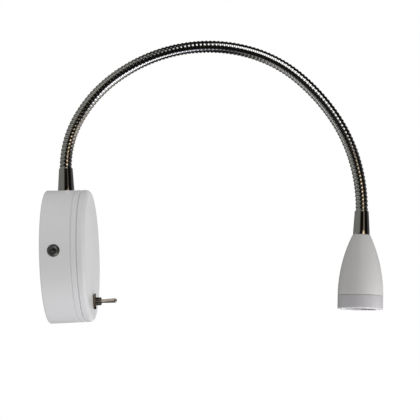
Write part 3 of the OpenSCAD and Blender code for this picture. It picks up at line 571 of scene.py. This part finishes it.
def make_front_ring():
    """The separate ring at the front: a plain band with a soft front edge, a lip and a threaded spigot."""
    top = SHELL_L + FIT
    spigot_round, top_round, front_round = 0.2 * MM, 0.25 * MM, 0.8 * MM
    lip_round, lip_back_round = 0.4 * MM, 0.1 * MM
    outline = rounded([
        (SPIGOT_T, RING_BORE_R, 0), (SPIGOT_T, SPIGOT_R, spigot_round), (top, SPIGOT_R, 0),
        (top, HEAD_R, top_round), (HEAD_L, HEAD_R, front_round), (HEAD_L, OPENING_R, lip_round),
        (HEAD_L - LIP_T, OPENING_R, lip_back_round), (HEAD_L - LIP_T, RING_BORE_R, 0)])
    # Painted shade: the ring takes a darker copy of the white coat.
    piece = turned_piece("spot_ring", outline, ring_shade_coat, HEAD_TOP, HEAD_AXIS, Y_AXIS, segments=128)
    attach(piece, "head")
    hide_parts("front_ring")


# Side screws

def make_side_screws():
    """Button-head screws: a turned head and shank, with a hexagon socket whose radius follows the angle."""
    edge = 0.35 * SCREW_HEAD_H
    flat_r = 0.52 * SCREW_HEAD_R
    bevel, seat_bevel, tip_bevel = 0.12 * MM, 0.15 * MM, 0.4 * MM
    cone_depth, cone_tip_r = 0.3 * MM, 0.02 * MM
    crown_r = (SCREW_HEAD_R ** 2 + (SCREW_HEAD_H - edge) ** 2) / (2 * (SCREW_HEAD_H - edge))
    r = np.linspace(SCREW_HEAD_R - bevel, flat_r, 14)
    crown = np.stack([SCREW_HEAD_H - crown_r + np.sqrt(crown_r ** 2 - r ** 2), r], axis=-1)
    body = np.concatenate([
        [[-SCREW_SHANK_L, 0], [-SCREW_SHANK_L, SCREW_SHANK_R - tip_bevel],
         [tip_bevel - SCREW_SHANK_L, SCREW_SHANK_R], [0, SCREW_SHANK_R], [0, SCREW_HEAD_R - seat_bevel],
         [seat_bevel, SCREW_HEAD_R], [edge - bevel, SCREW_HEAD_R]], crown])
    angle = circle(96)
    hexagon = hex_radius(angle, SCREW_SOCKET)
    top = crown[-1, 0]
    floor = SCREW_HEAD_H / 3
    tip = floor - cone_depth
    socket = [(top, hexagon + bevel), (top - bevel, hexagon), (floor, hexagon),
              (tip, cone_tip_r + 0 * hexagon), (tip, 0 * hexagon)]
    for name, way in (("near_screw", -1), ("far_screw", 1)):
        axis = way * Y_AXIS
        origin = np.array([SCREW_X, way * SCREW_SEAT_Y, 0])
        points = turned(body, origin, axis, Z_AXIS, len(angle))
        out = spokes(angle, axis, Z_AXIS)
        rows = np.stack([origin + t * axis + radius[:, None] * out for t, radius in socket])
        piece = piece_from_grid(name, np.concatenate([points, rows]), screw_steel, close_rows=False)
        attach(piece, "base")
        if way < 0:
            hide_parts("side_screws")


# Toggle switch

def make_toggle_nut():
    """A hexagon nut: the hexagon's radius cut by a cone at both ends, round a plain bore."""
    angle = circle(120)
    hexagon = hex_radius(angle, NUT_FLATS)
    chamfer, chamfer_rows, cone_r = 0.45 * MM, 6, 1.01 * NUT_FLATS / 2
    bore, mouth = BUSHING_R + 0.05 * MM, BUSHING_R + 0.25 * MM
    t = np.concatenate([[0, 0], np.linspace(0, chamfer, chamfer_rows),
                        np.linspace(NUT_T - chamfer, NUT_T, chamfer_rows), [NUT_T, NUT_T]])
    ends = np.minimum(t, NUT_T - t)
    cone = cone_r + ends * math.sqrt(3)
    radius = np.minimum(hexagon[None, :], cone[:, None])
    radius[0], radius[1] = bore, mouth
    radius[-2], radius[-1] = mouth, bore
    origin = np.array([NUT_X, 0, SWITCH_Z])
    points = origin + t[:, None, None] * X_AXIS + radius[..., None] * spokes(angle, X_AXIS, Z_AXIS)
    piece = piece_from_grid("toggle_nut", points, dark_nickel)
    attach(piece, "base")
    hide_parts("switch_nut")


def make_toggle_washer():
    """The thin washer under the nut, with soft edges."""
    inner, outer = BUSHING_R + 0.1 * MM, NUT_FLATS / 2 + 0.4 * MM
    fine_round, front_round = 0.06 * MM, 0.12 * MM
    outline = rounded([(0, inner, 0), (0, outer, fine_round), (WASHER_T, outer, front_round),
                       (WASHER_T, inner, fine_round)])
    origin = np.array([FRONT_X, 0, SWITCH_Z])
    piece = turned_piece("toggle_washer", outline, satin_brass, origin, X_AXIS, Z_AXIS)
    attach(piece, "base")
    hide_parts("switch_washer")


def make_toggle_bushing():
    """The threaded bushing. Its radius falls by a thread depth times the square of the sine of half
    the thread's phase, by a rounded end, and by a keyway dent that is a bell curve of the angle."""
    pitch, thread_depth = 0.6 * MM, 0.13 * MM
    end_round, end_drop, end_most = 0.7 * MM, 0.385 * MM, 0.999
    key_depth, key_half, key_angle = 0.45 * MM, 0.30, 1.5 * math.pi + 0.25
    back = FLANGE_FRONT_X - FLANGE_T
    x = np.linspace(FLANGE_FRONT_X, BUSHING_X, 170)
    angle = circle(96)
    thread = np.sin(math.pi * x[:, None] / pitch - angle / 2) ** 2
    left = np.clip(1 - (BUSHING_X - x) / end_round, 0, end_most)[:, None]
    rounding = end_drop * (1 - np.sqrt(1 - left ** 2))
    key = np.exp(-(((angle - key_angle) % (2 * math.pi) - math.pi) / key_half) ** 2)
    outer = BUSHING_R - thread_depth * thread - np.maximum(rounding, key_depth * key[None, :])
    inner_x = np.array([BUSHING_X, PIVOT_X + LEVER_BALL_R / 2, PIVOT_X - LEVER_BALL_R / 2, back])
    inner_r = np.array([BUSHING_MOUTH_R, BUSHING_BORE_R, BUSHING_BORE_R, BUSHING_MOUTH_R])
    rear = np.full((1, len(angle)), BUSHING_R)
    radius = np.concatenate([rear, rear, outer, np.repeat(inner_r[:, None], len(angle), axis=1)])
    places = np.concatenate([[back, FLANGE_FRONT_X - FLANGE_SEAM], x, inner_x])
    out = spokes(angle, X_AXIS, Z_AXIS)
    points = places[:, None, None] * X_AXIS + SWITCH_Z * Z_AXIS + radius[..., None] * out
    piece = piece_from_grid("toggle_bushing", points, dark_nickel, sharp=50)
    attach(piece, "base")
    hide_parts("switch_bushing")


def make_toggle_flange():
    """The bushing's square plate: a rectangle's radius at each angle, round the bushing."""
    half_y, half_z = FLANGE_SIZE[0] / 2, FLANGE_SIZE[1] / 2
    corner = math.atan2(half_y, half_z)
    corners = np.array([corner, math.pi - corner, math.pi + corner, 2 * math.pi - corner])
    angle = np.sort(np.concatenate([circle(72), corners]))
    with np.errstate(divide="ignore"):
        square = np.minimum(half_z / np.abs(np.cos(angle)), half_y / np.abs(np.sin(angle)))
    inner = np.full_like(square, BUSHING_R + FLANGE_SEAM)
    t = np.array([0, 0, FLANGE_T, FLANGE_T]) + FLANGE_FRONT_X - FLANGE_T
    radius = np.stack([inner, square, square, inner])
    out = spokes(angle, X_AXIS, Z_AXIS)
    points = t[:, None, None] * X_AXIS + SWITCH_Z * Z_AXIS + radius[..., None] * out
    piece = piece_from_grid("toggle_flange", points, nickel)
    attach(piece, "base")


# Camera and light

def make_camera():
    """The camera at the photograph's angle: a little below the lamp, looking up, tipped to one side."""
    distance, px_per_metre, frame_px, sensor = 1.0, 1662.5, 420, 36.0
    focal_px = distance * px_per_metre
    origin_px = np.array([48.75, 257.13])
    turn, rise, roll = np.radians([-2.60, 6.88, 1.58])
    ahead = np.array([math.sin(turn) * math.cos(rise), math.cos(turn) * math.cos(rise), math.sin(rise)])
    level = np.array([math.cos(turn), -math.sin(turn), 0])
    plumb = np.cross(level, ahead)
    right = math.cos(roll) * level - math.sin(roll) * plumb
    up = math.sin(roll) * level + math.cos(roll) * plumb
    across, above = (origin_px - frame_px / 2) * (1, -1) / focal_px
    place = -distance * (ahead + across * right + above * up)
    lens = bpy.data.cameras.new("camera")
    lens.sensor_fit = "HORIZONTAL"
    lens.sensor_width = sensor
    lens.lens = focal_px * sensor / frame_px
    lens.clip_start, lens.clip_end = 0.05, 30
    camera = bpy.data.objects.new("camera", lens)
    scene.collection.objects.link(camera)
    facing = Matrix((right, up, -ahead)).transposed().to_4x4()
    camera.matrix_world = Matrix.Translation(Vector(place)) @ facing
    scene.camera = camera


# What the chrome mirrors: colours, and patches as (colour, side, height, slope, soft edge) in degrees

STUDIO_DARK = 0.006
WALL_GREY = (0.21, 0.21, 0.195)
WALL_PALE = (0.33, 0.32, 0.30)
WALL_WARM = (0.27, 0.23, 0.13)
CEILING_WHITE = (1.45, 1.44, 1.42)
TABLE_WHITE = (1.6, 1.62, 1.68)
TABLE_NEAR = (0.18, 0.18, 0.20)
TABLE_EDGE = (0.62, 0.63, 0.69)
TABLE_FAR = (0.60, 0.54, 0.46)
ROOM_FAR = (0.10, 0.095, 0.09)
BACKDROP_WHITE = (0.9, 0.9, 0.9)
LAMP_AMBER = (1.4, 1.08, 0.68)
LAMP_STREAK = (0.36, 0.30, 0.24)
LAMP_EDGE = (0.40, 0.33, 0.28)
STUDIO_PATCHES = (
    (WALL_GREY, (-150, -26), (7, 62), 0, 5),
    (WALL_PALE, (-75, -23), (26, 66), 0, 6),
    (WALL_WARM, (-25, -19), (10, 34), 0, 3),
    (WALL_GREY, (-150, -40), (-15, 8), 0, 5),
    (WALL_GREY, (-150, -50), (-40, -12), 0, 6),
    (WALL_PALE, (-150, -36), (-62, -34), 0, 6),
    (TABLE_NEAR, (-36, 30), (-78, -56), 0, 5),
    (TABLE_EDGE, (-10, 30), (-82, -57), 0, 5),
    (CEILING_WHITE, (4, 45), (18, 41), 0.42, 4),
    (CEILING_WHITE, (-2, 45), (24, 57), 0, 4),
    (TABLE_WHITE, (35, 88), (-70, -32), 0, 5),
    (TABLE_WHITE, (23, 75), (-84, -56), 0, 5),
    (TABLE_FAR, (62, 100), (-24, -7), 0, 6),
    (TABLE_FAR, (88, 125), (-58, -6), 0, 8),
    (ROOM_FAR, (95, 150), (-6, 30), 0, 8),
    (BACKDROP_WHITE, (150, 190), (-30, 30), 0, 8),
    (LAMP_AMBER, (19, 43), (1, 9.4), 0, 3),
    (LAMP_STREAK, (33, 42), (9, 15), 0, 2),
    (LAMP_EDGE, (25, 33), (17, 25), 0, 2),
)


def studio_glow(direction):
    """Colour of the studio in a direction: the brightest of its soft-edged patches, each a smooth window
    of the side, in degrees to the right of the camera, times one of the height, whose edges may rise
    with the side."""
    side = np.degrees(np.arctan2(direction[..., 0], -direction[..., 1]))
    height = np.degrees(np.arcsin(np.clip(direction[..., 2], -1, 1)))
    glow = np.full(direction.shape, STUDIO_DARK)
    for colour, (left, right), (low, high), rise, soft in STUDIO_PATCHES:
        level = height - rise * side
        across = step(left - soft, left + soft, side) * step(right + soft, right - soft, side)
        upright = step(low - soft, low + soft, level) * step(high + soft, high - soft, level)
        glow = np.maximum(glow, (across * upright)[..., None] * np.array(colour))
    return glow


def make_studio():
    """A studio round the lamp that shows only as a reflection, as a wide ball with a colour at each point."""
    around, rings, reach = 240, 121, 3.0
    side = circle(around)[None, :]
    height = np.linspace(-math.pi / 2, math.pi / 2, rings)[:, None]
    direction = np.stack([np.cos(height) * np.cos(side), np.cos(height) * np.sin(side),
                          np.sin(height) + 0 * side], axis=-1)
    material = bpy.data.materials.new("studio_glow")
    material.use_nodes = True
    tree = material.node_tree
    tree.nodes.clear()
    painted = add(tree, "ShaderNodeAttribute")
    painted.attribute_name = "glow"
    shine = add(tree, "ShaderNodeEmission", Color=painted.outputs["Color"], Strength=1.0)
    out = add(tree, "ShaderNodeOutputMaterial")
    tree.links.new(shine.outputs[0], out.inputs["Surface"])
    room = piece_from_grid("studio_room", reach * direction, material, close_rows=False)
    points = np.empty(len(room.data.vertices) * 3)
    room.data.vertices.foreach_get("co", points)
    colours = np.ones((len(room.data.vertices), 4))
    colours[:, :3] = studio_glow(points.reshape(-1, 3) / reach)
    glow = room.data.attributes.new("glow", "FLOAT_COLOR", "POINT")
    glow.data.foreach_set("color", colours.ravel())
    room.visible_camera = False
    room.visible_diffuse = False
    room.visible_transmission = False
    room.visible_shadow = False


def make_world():
    """White where it is seen directly, mirrored or through glass, and a plain soft light for the rest."""
    soft_level, white_level = 0.66, 1.0
    world = bpy.data.worlds.new("world")
    scene.world = world
    world.use_nodes = True
    tree = world.node_tree
    tree.nodes.clear()
    path = add(tree, "ShaderNodeLightPath")
    seen = path.outputs["Is Camera Ray"]
    for ray in ("Is Glossy Ray", "Is Transmission Ray"):
        either = add(tree, "ShaderNodeMath")
        either.operation = "MAXIMUM"
        tree.links.new(seen, either.inputs[0])
        tree.links.new(path.outputs[ray], either.inputs[1])
        seen = either.outputs[0]
    soft = add(tree, "ShaderNodeBackground", Color=(1, 1, 1, 1), Strength=soft_level)
    white = add(tree, "ShaderNodeBackground", Color=(1, 1, 1, 1), Strength=white_level)
    both = add(tree, "ShaderNodeMixShader", Fac=seen)
    tree.links.new(soft.outputs[0], both.inputs[1])
    tree.links.new(white.outputs[0], both.inputs[2])
    out = add(tree, "ShaderNodeOutputWorld")
    tree.links.new(both.outputs[0], out.inputs["Surface"])


def make_lamp(name, place, size, energy, colour, aim=(0.1, 0, 0.05), spread=180):
    """A soft square lamp aimed at a spot, by default the light's middle, and left out of reflections."""
    lamp = bpy.data.lights.new(name, "AREA")
    lamp.size, lamp.energy, lamp.color = size, energy, colour
    lamp.spread = math.radians(spread)
    held = bpy.data.objects.new(name, lamp)
    scene.collection.objects.link(held)
    turn = (Vector(aim) - Vector(place)).to_track_quat("-Z", "Y")
    held.matrix_world = Matrix.Translation(place) @ turn.to_matrix().to_4x4()
    held.visible_camera = False
    held.visible_glossy = False


def make_floor():
    """A plain pale floor well below the lamp: one round face."""
    reach, height, corners = 4.0, -1.3, 96
    angle = circle(corners)
    edge = np.stack([reach * np.cos(angle), reach * np.sin(angle), np.full(corners, height)], axis=-1)
    mesh = bpy.data.meshes.new("floor")
    mesh.from_pydata(edge.tolist(), [], [tuple(range(corners))])
    pale = finish_of("floor_pale", (0.9, 0.9, 0.9), (0.7, 0.9), tint=(5, 0.02))
    mesh.materials.append(pale)
    floor = bpy.data.objects.new("floor", mesh)
    scene.collection.objects.link(floor)
    floor.visible_glossy = False


make_gooseneck()
make_collar("base_ferrule", "base_collar", "base", NECK_START, -Z_AXIS)
make_collar("head_ferrule", "head_collar", "head", HEAD_START, HEAD_AXIS)
make_head_shell()
make_front_ring()
make_side_screws()
make_toggle_nut()
make_toggle_washer()
make_toggle_bushing()
make_toggle_flange()
make_camera()
make_world()
make_studio()
make_floor()
make_lamp("key_right", (0.40, -0.52, -0.05), 0.5, 0.23, (1.0, 0.99, 0.98))
make_lamp("beside_head", (0.31, -0.045, -0.075), 0.12, 0.172, (1.0, 0.99, 1.0), aim=(0.192, 0, 0.02))
make_lamp("over_base", (0.03, -0.2, 0.5), 0.4, 0.36, (1.0, 1.0, 1.0))
make_lamp("under_base", (0.13, -0.03, -0.45), 0.4, 0.8, (0.94, 0.96, 1.0), aim=(0.01, 0, 0))
make_lamp("under_head", (0.192, 0, -0.26), 0.12, 0.05, (0.95, 0.95, 1.0), aim=(0.192, 0, 0), spread=50)

scene.view_settings.view_transform = "Standard"
